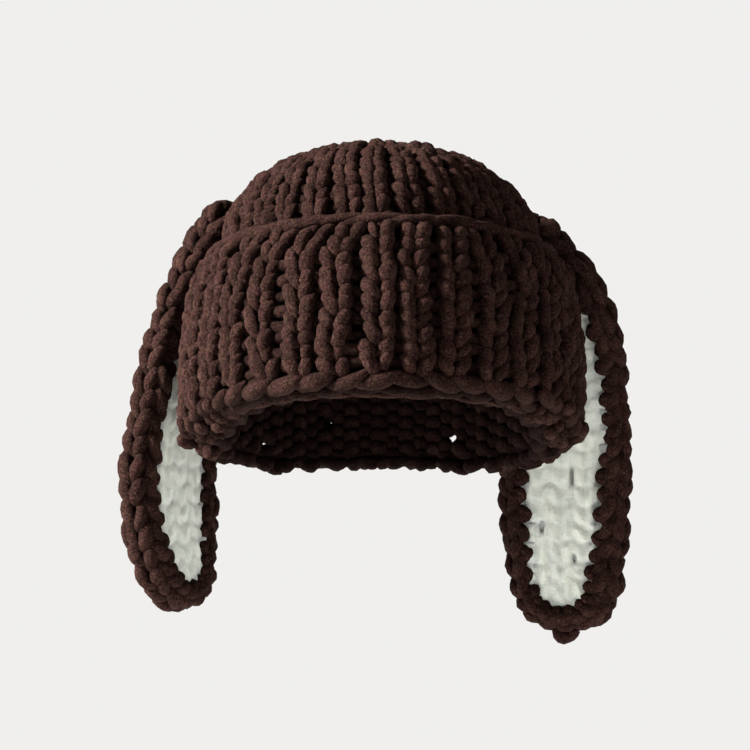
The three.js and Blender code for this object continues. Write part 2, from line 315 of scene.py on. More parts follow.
view = {
    "at": (-0.00278, -1.3992, -0.1101),
    "sensor": 36,
    "lens": 126.8,
    "photoSize": 750,         # pixels
}
cap = {
    "wales": 32,
    "longerBy": 18,           # half lengths are this much longer than half widths
    "tiltBack": 9.5,          # degrees
    "seatToRim": (0.92, 0.84, -145.58),   # where the middle of the rim lies from the head seat
    "rimFadesBy": 60,
    "rim": [(0, 5), (42, 4), (62, -0.5), (90, -9), (125, -6), (180, 0)],   # degrees, height
    "shoulderHeight": 105,
    "shoulderHalfWidth": 86.6,
    "domeRise": 54,
    "topShift": -3,
    "turn": -0.15,            # wales off the middle of the front
    "normalSteps": (0.01, 0.8),           # of angle and length, to measure normals by
    "pinholes": [(262, 442, 4.6), (327, 423, 5.6), (454, 439, 5.6)],   # photo place, reach
}


def rimHeight(angle):
    turned = np.degrees(np.arccos(np.clip(np.cos(angle), -1, 1)))
    degrees, heights = np.array(cap["rim"], float).T
    high = np.clip(np.searchsorted(degrees, turned), 1, len(degrees) - 1)
    share = np.clip((turned - degrees[high - 1]) / (degrees[high] - degrees[high - 1]), 0, 1)
    share = share * share * (3 - 2 * share)
    return heights[high - 1] + share * (heights[high] - heights[high - 1])


def capSurface(rows, perSpan=10):
    # Columns of the rows: half width, extra half length, height, shift in X. surface(angle, s)
    # gives points at the length s up the wall, and table the sizes by that length.
    table = withLength(smoothTable(rows, perSpan), [0, 2])
    tilt = math.radians(-cap["tiltBack"])
    seat = np.array(cap["seatToRim"])

    def surface(angle, s):
        halfWidth, longer, height, shift = along(table, s)
        fade = np.clip(1 - height / cap["rimFadesBy"], 0, 1)
        x = halfWidth * np.sin(angle) + shift
        y = -(halfWidth + longer) * np.cos(angle)
        z = height + fade * rimHeight(angle)
        tiltedY = y * math.cos(tilt) - z * math.sin(tilt)
        tiltedZ = y * math.sin(tilt) + z * math.cos(tilt)
        return np.stack([x, tiltedY, tiltedZ], axis=-1) + seat
    return surface, table


def wallRows(rows, inset):
    return [(halfWidth - inset, cap["longerBy"], height, 0) for height, halfWidth in rows]


def domeRow(angle, inset):
    a = math.radians(angle)
    return ((cap["shoulderHalfWidth"] - inset) * math.cos(a), cap["longerBy"] * math.cos(a),
            cap["shoulderHeight"] + (cap["domeRise"] - inset) * math.sin(a),
            cap["topShift"] * math.sin(a))


def waleAngle(x):
    return tau * (x + cap["turn"]) / cap["wales"]


def sightLine(across, up):
    # Direction of the line of sight through a place in the photograph
    span = view["sensor"] / view["lens"] / view["photoSize"]
    middle = view["photoSize"] / 2
    return unit(np.array([(across - middle) * span, 1, (middle - up) * span]))


def openPinholes(points):
    # Push the yarn of the back wall aside where light shines through the loose stitches
    eye = np.array(view["at"]) / mm
    for across, up, reach in cap["pinholes"]:
        line = sightLine(across, up)
        offset = points - eye
        offset = offset - (offset @ line)[:, None] * line
        distance = np.linalg.norm(offset, axis=1)
        push = np.where(points[:, 1] > 0, np.clip(reach - distance, 0, None), 0)
        points = points + unit(offset) * (push * np.clip(distance * 4, 0, 1))[:, None]
    return points


def layRound(yarn, surface, keys, look, s0, angleOf, wales):
    # One row of knitting laid round the cap
    path = smoothPath(keys, wales)
    angle = angleOf(path[:, 0], path[:, 1])
    lift = look.get("frontLift", 0) * (0.5 + 0.5 * np.cos(angle)) ** 2
    s = np.minimum(s0 + path[:, 1] * look["pitch"] + lift, look.get("lastAt", math.inf))
    r = look["radius"]
    points, normals = liftOff(surface, angle, s, path[:, 2] * r, *cap["normalSteps"])
    heights = path[:, 2]
    if "insidePaintedShadeFrom" in look:          # seen from inside, so what stands out there is the front; measured from that z, the inside wall is painted darker as shade
        normals, heights = -normals, look["insidePaintedShadeFrom"] - heights
    yarn.lay(openPinholes(points), normals, path[:, 3] * r, heights, look["sides"], True)


# Materials

pileLook = {
    "shader": {"Roughness": 0.92, "Specular IOR Level": 0.02, "Sheen Roughness": 0.45},
    "tuftScale": 1000,        # tufts of about a millimetre
    "patchScale": 110,        # slow change of shade from stitch to stitch
    "tuftShare": 0.72,        # the slow change has the rest
    "speckle": (0.4, 0.5, 0.6),       # noise values of the dark, middle and light colour
    "hueScale": 450,
    "hueNoise": {"From Min": 0.3, "From Max": 0.7},
    "paintedShadeHeights": {"From Min": -1.1, "From Max": 1.05},   # heights of paintedDeepShade and of no painted shade
    "fineScale": 1700,
    "coarseScale": 520,
    "bumpStrength": 0.75,
}
brownLook = {
    "dark": (0.0060, 0.0026, 0.0020), "mid": (0.0152, 0.0069, 0.0054),
    "light": (0.038, 0.0180, 0.0141), "hueSpread": 0.02,
    # painted shade: the colour left deep in the knitting and on the yarn's inner side
    "paintedDeepShade": 0.3,         # what is left of the colour deep in the knitting
    "fuzzDepth": 0.0024,
    "shader": {"Sheen Weight": 0.03, "Sheen Tint": (0.5, 0.24, 0.18, 1)},
}
whiteLook = {
    "dark": (0.435, 0.455, 0.395), "mid": (0.47, 0.49, 0.43), "light": (0.50, 0.52, 0.465),
    "hueSpread": 0.004,
    # painted shade: the colour left deep in the white knitting, in the slits and on the tufts' inner
    # side
    "paintedDeepShade": 0.3,
    "fuzzDepth": 0.0007,
    "shader": {               # light goes through the pale pile
        "Sheen Weight": 0.1, "Sheen Tint": (1, 1, 1, 1),
        "Subsurface Weight": 0.8, "Subsurface Radius": (1, 1, 0.9), "Subsurface Scale": 0.008,
    },
}


def setValues(node, values):
    for socket, value in values.items():
        node.inputs[socket].default_value = value


def newNode(nodes, kind, values):
    node = nodes.new(kind)
    setValues(node, values)
    return node


def newMath(nodes, operation, values):
    node = newNode(nodes, "ShaderNodeMath", values)
    node.operation = operation
    return node


def chenille(name, look):
    material = bpy.data.materials.new(name)
    material.use_nodes = True
    nodes, links = material.node_tree.nodes, material.node_tree.links
    shader = nodes["Principled BSDF"]
    setValues(shader, {**pileLook["shader"], **look["shader"]})
    where = nodes.new("ShaderNodeTexCoord")

    def noise(scale, detail, rough=0.6):
        values = {"Scale": scale, "Detail": detail, "Roughness": rough}
        node = newNode(nodes, "ShaderNodeTexNoise", values)
        links.new(where.outputs["Object"], node.inputs["Vector"])
        return node.outputs["Fac"]

    # The pile's speckle
    patch = newMath(nodes, "MULTIPLY", {1: 1 - pileLook["tuftShare"]})
    links.new(noise(pileLook["patchScale"], 2), patch.inputs[0])
    blend = newMath(nodes, "MULTIPLY_ADD", {1: pileLook["tuftShare"]})
    links.new(noise(pileLook["tuftScale"], 3), blend.inputs[0])
    links.new(patch.outputs[0], blend.inputs[2])
    ramp = nodes.new("ShaderNodeValToRGB")
    stops = ramp.color_ramp.elements
    stops.new(pileLook["speckle"][1])
    for stop, noiseAt, colour in zip(stops, pileLook["speckle"], ("dark", "mid", "light")):
        stop.position = noiseAt
        stop.color = (*look[colour], 1)
    links.new(blend.outputs[0], ramp.inputs["Fac"])
    spread = newNode(nodes, "ShaderNodeMapRange", {
        **pileLook["hueNoise"],
        "To Min": 0.5 - look["hueSpread"], "To Max": 0.5 + look["hueSpread"]})
    links.new(noise(pileLook["hueScale"], 1), spread.inputs["Value"])
    hue = nodes.new("ShaderNodeHueSaturation")
    links.new(spread.outputs["Result"], hue.inputs["Hue"])
    links.new(ramp.outputs["Color"], hue.inputs["Color"])

    # Painted shade: darker deep in the knitting and on the yarn's inner side, from the height
    # attribute
    height = nodes.new("ShaderNodeAttribute")
    height.attribute_name = "height"
    shade = newNode(nodes, "ShaderNodeMapRange", {
        **pileLook["paintedShadeHeights"], "To Min": look["paintedDeepShade"]})
    shade.interpolation_type = "SMOOTHSTEP"
    links.new(height.outputs["Fac"], shade.inputs["Value"])
    shaded = nodes.new("ShaderNodeVectorMath")
    shaded.operation = "SCALE"
    links.new(hue.outputs["Color"], shaded.inputs[0])
    links.new(shade.outputs["Result"], shaded.inputs["Scale"])
    links.new(shaded.outputs["Vector"], shader.inputs["Base Color"])

    # Fuzz
    add = newMath(nodes, "ADD", {})
    links.new(noise(pileLook["fineScale"], 2, 0.7), add.inputs[0])
    links.new(noise(pileLook["coarseScale"], 2), add.inputs[1])
    bump = newNode(nodes, "ShaderNodeBump", {
        "Strength": pileLook["bumpStrength"], "Distance": look["fuzzDepth"]})
    links.new(add.outputs[0], bump.inputs["Height"])
    links.new(bump.outputs["Normal"], shader.inputs["Normal"])
    return material


brownYarn = chenille("brown_chenille", brownLook)
whiteYarn = chenille("white_chenille", whiteLook)


def dress(piece, slot, *nodes):
    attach(piece, "root")
    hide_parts(*nodes)


# Brim: turned up round the crown, from its lower edge to the crest

brim = {
    "seed": 11,
    "legs": (slantedLeg, roundLeg),
    "mirrorTo": 15,
    "radius": 3.4,
    "inset": 3.6,             # the front of the legs reaches the CAD surface
    "rows": 10,
    "firstRow": 14.6,         # height of the first row along the surface
    "pitch": 8.0,
    "sides": 9,
    "wander": 0.07,
    "sideways": 0.03, "upDown": 0.08, "inOut": 0.15, "thickness": 0.08,
    "profile": [(0.4, 96.6), (2.6, 101.0), (11, 106), (26, 108), (45, 108), (62, 106.6),
                (78, 103.6), (90, 98.6), (97, 94), (100, 90)],   # height, half width
}
crestLean = {                 # left of the front the legs lean over towards the crest
    "by": 0.5, "around": -2.6, "width": 2.2,   # wales
    "rowsBelow": 2.2, "over": 2.6,
    "power": 1.6,
}
edge = {                      # plaited strands at the front, short full lumps round the sides
    "bands": [                # heights at the front and round the sides
        # deep: painted shade at the front; the second band is painted darker, under the band above,
        # and the lowest a little lighter, as a painted lit underside
        {"at": (13.6, 15.5), "radius": 4.1, "out": 0.35, "slant": 0.8, "deep": 0},
        {"at": (5.2, 7.8), "radius": 3.3, "out": -0.8, "slant": 0.5, "deep": 1.3},
        {"at": (-0.2, 0.4), "radius": 1.8, "out": -1.3, "slant": 0.2, "deep": -0.4},
    ],
    "sideRadius": 3.9,
    "sidesFrom": (4, 1.3),    # wales off the front, and over how many the sides come in
    "sidesTo": (13, 1.5),
    "meetAt": 0.4,            # the wale where the strands from both sides meet
    "long": (1.22, 0.54),     # wales, here and below at the front and round the sides
    "apart": (0.84, 0.48),
    "slants": (1, 0.3),
    "unevenOut": (0.1, 0.4),
    "unevenAt": (0.4, 1.2),
    "rise": 1.8,
    "tailDeep": 1.5, "headDeep": 0.5,
    "sides": 9,
}
crest = {                     # long smooth strands that lie over each other along the top
    "at": 102.2,
    "radius": 2.8,
    "out": 1.2,
    "long": 1.95,             # wales
    "from": -2.6, "rise": 4.0, "arch": 0.5,
    "tailDeep": 0.8, "headDeep": 0.6, "swell": 0.15,
    "thin": 0.64, "full": 0.4,
    "uneven": 0.5,
    "sides": 8,
}
strandSteps = 15


def makeBrim():
    look = brim
    yarn = Yarn(look["seed"])
    random = yarn.random
    surface, _ = capSurface(wallRows(look["profile"], look["inset"]))
    wales = cap["wales"]
    wander = wanderTable(random, wales, look["rows"] + 3, look["wander"])
    for row in range(look["rows"]):
        keys = courseKeys(random, range(wales), look)

        def angleOf(x, y, row=row):
            stray = strayOf(wander, row + y, np.round(x).astype(int) % wales)
            front = np.mod(x + wales / 2, wales) - wales / 2
            lean = crestLean["by"] * bell(front - crestLean["around"], crestLean["width"])
            belowCrest = look["rows"] - (row + y)
            near = np.clip((crestLean["rowsBelow"] - belowCrest) / crestLean["over"], 0, 1)
            return waleAngle(x + stray + lean * near ** crestLean["power"])
        s0 = look["firstRow"] + row * look["pitch"]
        layRound(yarn, surface, keys, look, s0, angleOf, wales)
    for band in edge["bands"]:
        layEdge(yarn, surface, random, band)
    layCrest(yarn, surface, random)
    return yarn.newPiece("brim_knit", brownYarn)


def mixed(pair, side):
    # A value between the one at the front and the one round the sides
    return pair[0] * (1 - side) + pair[1] * side


def layEdge(yarn, surface, random, band):
    # Leaf-shaped strands laid over each other like a plait, from the back towards the front
    half = cap["wales"] / 2
    sidesFrom, fadeIn = edge["sidesFrom"]
    sidesTo, fadeOut = edge["sidesTo"]
    at = random.uniform(-half, 1 - half)
    while at < half:
        away = abs(at)
        side = np.clip((away - sidesFrom) / fadeIn, 0, 1) * np.clip((sidesTo - away) / fadeOut, 0, 1)
        way = 1 if at < edge["meetAt"] else -1
        r = mixed((band["radius"], edge["sideRadius"]), side)
        t = 0.5 - 0.5 * np.cos(math.pi * np.linspace(0.05, 0.95, strandSteps))
        swing = np.sin(math.pi * t)
        longBy = random.normal(mixed(edge["long"], side), 0.08)
        slant = band["slant"] * random.normal(mixed(edge["slants"], side), 0.25)
        x = at + way * (t - 0.5) * longBy
        at += random.normal(mixed(edge["apart"], side), 0.06)
        rise = slant * (t - 0.45 - 0.25 * swing)
        z = -edge["tailDeep"] * (1 - t) ** 1.8 - edge["headDeep"] * t ** 4
        z = z + random.normal(0, mixed(edge["unevenOut"], side))
        leaf = 0.3 + 0.7 * swing ** 0.7
        lump = np.sqrt(1 - (2 * t - 1) ** 4)
        thick = r * mixed((leaf, lump), side) * random.normal(1, 0.07)
        s = mixed(band["at"], side) + rise * r * edge["rise"]
        s = s + random.normal(0, mixed(edge["unevenAt"], side))
        out = (z + band["out"]) * r
        points, normals = liftOff(surface, waleAngle(x), s, out, *cap["normalSteps"])
        # painted shade and light at the front: each band's deep value darkens or lightens its strands
        heights = z - band["deep"] * (1 - side)
        yarn.lay(openPinholes(points), normals, thick, heights, edge["sides"])


def layCrest(yarn, surface, random):
    r = crest["radius"]
    t = np.linspace(0, 1, strandSteps)
    swing = np.sin(math.pi * t)
    for wale in range(cap["wales"]):
        x = wale + crest["long"] * (t - 0.5) + random.normal(0, 0.06)
        rise = crest["from"] + crest["rise"] * t + crest["arch"] * swing
        z = -crest["tailDeep"] * (1 - t) ** 2 - crest["headDeep"] * t ** 3 + crest["swell"] * swing
        thick = r * (crest["thin"] + crest["full"] * swing ** 0.7) * random.normal(1, 0.08)
        s = crest["at"] + rise + random.normal(0, crest["uneven"])
        out = crest["out"] + z * r
        points, normals = liftOff(surface, waleAngle(x), s, out, *cap["normalSteps"])
        yarn.lay(points, normals, thick, z, crest["sides"])


dress(makeBrim(), "brown_yarn", "brim")
print("brim done")


# Crown: the wall behind the brim, seen from inside, and the dome with its gathered top

crownWall = {
    "seed": 21,
    "legs": (purlLeg, purlLeg),
    "insidePaintedShadeFrom": -3.2,       # z of what stands out most towards the inside; the heights counted from it are lower than outside, so the inside wall is painted darker as shade
    "radius": 3.7,
    "inset": 3.7,
    "rows": 14,
    "firstRow": -2.0,
    "pitch": 7.3,
    "sides": 7,
    "turned": 0.25,           # wales
    "sideways": 0.08, "upDown": 0.24, "inOut": 0.32, "thickness": 0.13,
    "frontLift": 9.0,         # its front edge stays hidden behind the brim's
    "profile": [(0.5, 91.5), (6, 93.6), (20, 94), (50, 93.4), (78, 90.6), (91, 87.2), (105, 83),
                (118, 77)],
}
dome = {
    "seed": 31,
    "legs": (slantedLeg, roundLeg),
    "radius": 3.3,
    "inset": 4.2,
    "pitch": 7.3,
    "collar": [(18, 1.2), (9, 0.4)],   # below the shoulder, and wider than it
    "firstRow": 4.0,          # height of the first row above the collar's edge
    "fullRows": 10,           # rows with every wale
    "halfRows": 5,            # rows with half of them
    "lastRows": 2,            # rows with a quarter, drawn together
    "lastRadius": 0.85,       # share of the radius left in those
    "gatherGap": 3.5,         # how near to the middle of the top the yarn goes
    "pairsFrom": 2.5, "pairsOver": 3.5,   # rows in which two wales draw together
    "sides": 9,
    "wander": 0.06,
    "sideways": 0.028, "upDown": 0.08, "inOut": 0.14, "thickness": 0.07,
}


def makeCrownWall():
    look = crownWall
    yarn = Yarn(look["seed"])
    surface, _ = capSurface(wallRows(look["profile"], look["inset"]))

    def angleOf(x, y):
        return waleAngle(x + look["turned"])
    for row in range(look["rows"]):
        keys = courseKeys(yarn.random, range(cap["wales"]), look)
        s0 = look["firstRow"] + row * look["pitch"]
        layRound(yarn, surface, keys, look, s0, angleOf, cap["wales"])
    return yarn.newPiece("crown_inner_knit", brownYarn)


def makeDome():
    look = dome
    yarn = Yarn(look["seed"])
    random = yarn.random
    rows = [(cap["shoulderHalfWidth"] + wider - look["inset"], cap["longerBy"],
             cap["shoulderHeight"] - below, 0) for below, wider in look["collar"]]
    rows += [domeRow(angle, look["inset"]) for angle in (*range(0, 90, 6), 89.5)]
    surface, table = capSurface(rows, 6)
    full = look["fullRows"]
    counts = [1] * full + [2] * look["halfRows"] + [4] * look["lastRows"]
    wander = wanderTable(random, cap["wales"], len(counts) + 3, look["wander"])
    for row, step in enumerate(counts):
        wales = cap["wales"] // step
        keys = courseKeys(random, range(wales), look)

        def angleOf(x, y, row=row, step=step, wales=wales):
            wale = np.round(x)
            stray = strayOf(wander, row + y, (wale.astype(int) % wales) * step)
            if step == 1:   # two neighbours draw together before they become one
                pairMiddle = np.floor(wale / 2) * 2 + 0.5
                near = (row + y - full + look["pairsFrom"]) / look["pairsOver"]
                return waleAngle(x + stray + (pairMiddle - wale) * np.clip(near, 0, 1) * 0.5)
            return waleAngle((x + stray) * step + (step - 1) * 0.5)
        s0 = look["firstRow"] + row * look["pitch"]
        radius = look["radius"] * (look["lastRadius"] if step == 4 else 1)
        rowLook = dict(look, radius=radius, lastAt=table[-1, 0] - look["gatherGap"])
        layRound(yarn, surface, keys, rowLook, s0, angleOf, wales)
    return yarn.newPiece("crown_knit", brownYarn)


dress(makeCrownWall(), "brown_yarn", "crown")
dress(makeDome(), "brown_yarn", "crown")
print("crown done")


# Ears. Each row is a cross-section: height over the middle of the rim, x, y, yaw, half width,
# half of the white panel, and how far its edges wrap towards the head.

rightEar = {
    "side": 1, "seed": 41, "knob": True, "forward": 0,
    "rootPull": 6.0,          # the border's front is this much narrower near the root
    "slits": [(6, -22, 5.5), (-11, -51, 3.5), (8, -68, 2.5)],   # across, height, half length
    "rows": [
        (120, 75.3, 76, 61, 22, 9, 3), (113, 81.5, 79, 61, 28, 10, 4),
        (100, 92.5, 80, 60, 30.5, 11, 3), (85, 100.5, 82, 56, 33, 15, 2),
        (70, 104, 86, 49, 34.5, 18, 0), (55, 105, 92, 40, 36, 19.5, -1),
        (38, 105, 97, 32, 37.5, 20.5, -1), (15, 104.2, 100, 25, 38.5, 21, -1),
        (-12, 104.5, 101, 21, 39.5, 21, 0), (-40, 104, 100, 20, 38.7, 21, 0),
        (-62, 103.6, 100, 20, 36.5, 20, 0), (-78, 104, 100, 20, 34.5, 18, 0),
        (-90, 104.8, 100, 20, 31.5, 14, 0), (-98, 105, 100, 20, 28, 9, 0),
        (-104, 105, 100, 20, 23, 5, 0), (-109.5, 104.6, 100, 20, 12, 1, 0),
    ],
}
leftEar = {
    "side": -1, "seed": 51, "knob": False, "forward": 1.8,
    "rootPull": 3.0,
    "slits": [],
    "rows": [
        (126.5, 81.8, 62.6, 71, 22, 9, 3), (119, 88.4, 64.5, 71, 27, 10, 4),
        (106, 95.0, 65, 71, 28.5, 11, 3), (89, 102.4, 65, 70, 31, 14, 3),
        (72, 108, 64, 68, 33, 17, 3), (51, 112.2, 63, 65, 35.5, 19, 3),
        (26, 115.3, 60, 63, 37.5, 20, 2), (0, 118, 58, 61, 39, 20.5, 1),
        (-25, 119, 56, 60, 39.5, 20.5, 0), (-48, 117.6, 55, 60, 38, 20.5, 0),
        (-62, 115.5, 55, 60, 35.5, 18.5, 0), (-75, 113, 55, 60, 31, 14, 0),
        (-82, 111.6, 55, 60, 26.5, 9, 0), (-87.5, 110.4, 55, 60, 21, 5, 0),
        (-92.5, 109.6, 55, 60, 12, 1, 0),
    ],
}
earShape = {
    "pullEndsAt": 165, "pullFadesOver": 45,    # lengths down the ear
    "leastHalfWidth": 8,
    "tipLonger": 2.0,
    "tipSqueeze": 0.18, "tipReach": 30,        # the border is narrower where it goes round the tip
    "columns": {"halfWidth": 9, "panel": 10},
}


def rootPull(ear, down):
    # How much narrower the border's front is, at a length down the ear
    return ear["rootPull"] * np.clip((earShape["pullEndsAt"] - down) / earShape["pullFadesOver"], 0, 1)


def earMap(ear):
    # flat(across, down, out) gives points of an ear, table its sizes
    curve = smoothTable(ear["rows"], 12)
    centre = np.column_stack([curve[:, 1], curve[:, 2], curve[:, 0]])
    down = unit(np.gradient(centre, axis=0))
    yaw = np.radians(curve[:, 3])
    outward = np.column_stack([np.cos(yaw), -np.sin(yaw), np.zeros(len(yaw))])
    outward = unit(outward - down * (outward * down).sum(1)[:, None])
    face = np.cross(down, outward)
    table = withLength(np.column_stack([centre, outward, face, curve[:, 4:7]]), [0, 1, 2])
    seat = np.array(cap["seatToRim"])

    def flat(across, downBy, out):
        values = np.stack(along(table, downBy), axis=-1)
        centreAt, outwardAt, faceAt = values[:, 0:3], unit(values[:, 3:6]), unit(values[:, 6:9])
        halfWidth, _, wrap = values[:, 9:].T
        bend = wrap * (across / np.maximum(halfWidth, earShape["leastHalfWidth"])) ** 2
        p = centreAt + outwardAt * across[:, None] + faceAt * (out + bend + ear["forward"])[:, None]
        return p * np.array([ear["side"], 1, 1]) + seat
    return flat, table


def sizeAt(table, name, down):
    return along(table, down)[earShape["columns"][name]]


def outlineOf(table):
    # The ear's outline laid flat, from its root on one side round the tip to the other root
    downs = np.linspace(0, table[-1, 0], 60)
    right = np.column_stack([sizeAt(table, "halfWidth", downs), downs])
    tip = np.array([[0, table[-1, 0] + earShape["tipLonger"]]])
    left = right[::-1] * np.array([-1, 1])
    shape = withLength(np.vstack([right, tip, left]), [0, 1])
    shape = np.stack(along(shape, np.linspace(0, shape[-1, 0], 400)), axis=-1)
    window = 17
    kernel = np.hanning(window)
    kernel /= kernel.sum()
    more = window // 2
    padded = np.vstack([np.repeat(shape[:1], more, 0), shape, np.repeat(shape[-1:], more, 0)])
    smooth = np.column_stack([np.convolve(padded[:, c], kernel, "valid") for c in range(2)])
    tangent = unit(np.gradient(smooth, axis=0))
    inward = np.column_stack([-tangent[:, 1], tangent[:, 0]])
    return withLength(np.column_stack([smooth, inward]), [0, 1])


def tipSqueeze(v, middleBy):
    return 1 - earShape["tipSqueeze"] * bell(v - middleBy, earShape["tipReach"])


# Ear shells: a border of three wales along the outline, loops at its inner edge, a plain back

earShell = {
    "legs": (relaxedLeg, relaxedLeg),
    "radius": 3.5,
    "halfThick": 7.4,         # from the middle of the ear out to the middle of the front yarn
    "edge": 3.7,              # the same inwards from the outline
    "flatTo": 15, "bandTo": 19.5, "bandDrop": 0.4,   # insets, and how much lower the band ends
    "middleInset": 12,
    "pitch": 11.6,
    "rowShift": -0.88,        # rows
    "wales": 3,
    "waleWidth": 14.4,
    "firstWale": 12.0,        # along the band's section, from its inner front edge
    "pullShare": 0.7,
    "tail": (0.13, -1.7),     # the end of each row: wales further, and how deep in radii
    "sides": 9,
    "sideways": 0.03, "upDown": 0.08, "inOut": 0.16, "thickness": 0.07,
}
edgeLoop = {
    "keys": [(9.5, -0.279, -0.9), (6.5, -0.189, -0.3), (3.8, -0.108, 0.0), (2.9, 0.0, 0.0),
             (3.8, 0.108, 0.0), (6.5, 0.189, -0.3), (9.5, 0.279, -0.9)],   # u, rows, z in radii
    "radius": 3.35,
    "inwards": 0.4,
    "uneven": {"rows": 0.06, "u": 1.0, "thickness": 0.08},
    "sides": 8,
}
plain = {
    "borders": 19,            # inset of the plain wales
    "waleWidth": 0.7, "leastHalf": 4,
    "relief": 0.85,
    "sides": 8,
    "rootRows": range(1, 4),
}
rootStrand = {"narrowerBy": 6, "radius": 4.0, "steps": 9, "sides": 8}
knob = {"halfWidth": 4.5, "up": 1, "long": 5, "out": 2, "radius": 3.8, "steps": 9, "sides": 8}


def bandSection():
    # From the inner front edge of the border, round the outer edge, to the back: inset and out
    look = earShell
    thick = look["halfThick"]
    flatEnd = look["edge"] + thick
    points = [(look["bandTo"], thick - look["bandDrop"]), (look["flatTo"], thick), (flatEnd, thick)]
    for step in range(1, 8):
        turn = math.pi * step / 8
        points.append((flatEnd - thick * math.sin(turn), thick * math.cos(turn)))
    points += [(flatEnd, -thick), (look["flatTo"], -thick), (look["bandTo"], -thick)]
    return withLength(smoothTable(points, 4), [0, 1])


def makeEarShell(ear, name):
    look = earShell
    yarn = Yarn(ear["seed"])
    random = yarn.random
    flat, table = earMap(ear)
    outline = outlineOf(table)
    section = bandSection()
    total = outline[-1, 0]

    def band(u, v):
        # u along the section, v along the outline
        inset, out = along(section, u)
        x, y, inX, inY = along(outline, v)
        inset = inset * tipSqueeze(v, total / 2)
        return flat(x + inX * inset, y + inY * inset, out)

    def raised(u, v, z):
        points, normals = liftOff(band, u, v, np.zeros(len(u)), 0.5, 0.5)
        x, y, inX, inY = along(outline, v)
        inset = look["middleInset"]
        away = points - flat(x + inX * inset, y + inY * inset, np.zeros(len(u)))
        if (away * normals).sum() < 0:
            normals = -normals
        return points + normals * z[:, None], normals

    def pulledBy(v):
        return rootPull(ear, along(outline, v)[1])

    r = look["radius"]
    rows = int(round(total / look["pitch"]))
    pitch = total / rows
    further, deep = look["tail"]
    loop = smoothPath(np.array(edgeLoop["keys"]))
    uneven = edgeLoop["uneven"]
    for row in range(rows):
        # On the way down one side the stitches point down, on the other side up
        keys = courseKeys(random, range(look["wales"]), look)
        lastX, lastThick = keys[-1, 0], keys[-1, 3]
        keys = np.vstack([keys, (lastX + further, 0, deep, lastThick)])
        path = smoothPath(keys)
        v = (row + look["rowShift"] + path[:, 1]) * pitch
        u = look["firstWale"] + path[:, 0] * look["waleWidth"] + look["pullShare"] * pulledBy(v)
        points, normals = raised(u, v, path[:, 2] * r)
        yarn.lay(points, normals, path[:, 3] * r, path[:, 2], look["sides"])
        # Loop at the inner edge of the border
        v = (row + 0.5 + loop[:, 1] + random.normal(0, uneven["rows"])) * pitch
        u = loop[:, 0] + random.normal(-edgeLoop["inwards"], uneven["u"]) + pulledBy(v)
        points, normals = raised(u, v, loop[:, 2] * r)
        thick = np.full(len(u), edgeLoop["radius"] * (1 + random.normal(0, uneven["thickness"])))
        yarn.lay(points, normals, thick, loop[:, 2], edgeLoop["sides"])
    layPlainRows(yarn, flat, table, -1, range(1, int(table[-1, 0] / look["pitch"]) - 1))
    layPlainRows(yarn, flat, table, 1, plain["rootRows"])      # closes the root above the panel
    layRootStrands(yarn, ear, flat)
    if ear["knob"]:
        layKnob(yarn, flat, table[-1, 0])
    return yarn.newPiece(name, brownYarn)


def layPlainRows(yarn, flat, table, side, rows):
    # Three plain wales between the two sides of the border, down the back or on the front
    look = earShell
    r = look["radius"]
    for row in rows:
        down = row * look["pitch"]
        half = float(sizeAt(table, "halfWidth", down))
        keys = courseKeys(yarn.random, (-1, 0, 1), look)
        keys[:, 0] *= plain["waleWidth"] * max(half - plain["borders"], plain["leastHalf"])
        path = smoothPath(keys)
        downBy = down - path[:, 1] * look["pitch"] + look["pitch"]
        out = side * (look["halfThick"] + path[:, 2] * r * plain["relief"])
        points = flat(path[:, 0], downBy, out)
        normals = unit(flat(path[:, 0], downBy, out + side) - points)
        yarn.lay(points, normals, path[:, 3] * r, path[:, 2], plain["sides"])


def layStrand(yarn, points, front, look):
    n = len(points)
    yarn.lay(points, np.tile(front, (n, 1)), np.full(n, look["radius"]), np.zeros(n), look["sides"])


def layRootStrands(yarn, ear, flat):
    # Two strands side by side that close the top of the root
    look = rootStrand
    n = look["steps"]
    halfWidth = ear["rows"][0][4] - look["narrowerBy"]
    for out in (-earShell["radius"], earShell["radius"]):
        points = flat(np.linspace(-1, 1, n) * halfWidth, np.zeros(n), np.full(n, out))
        layStrand(yarn, points, (0, 0, 1), look)


def layKnob(yarn, flat, tipAt):
    # The end of the yarn, a small loop under the tip
    look = knob
    turn = np.linspace(0, math.pi, look["steps"])
    downBy = tipAt - look["up"] + look["long"] * np.sin(turn)
    points = flat(look["halfWidth"] * np.cos(turn), downBy, look["out"] * np.sin(turn))
    layStrand(yarn, points, (0, -1, 0), look)


# Ear linings: flat white knitting, a matted pile over it and tufts between the border's loops

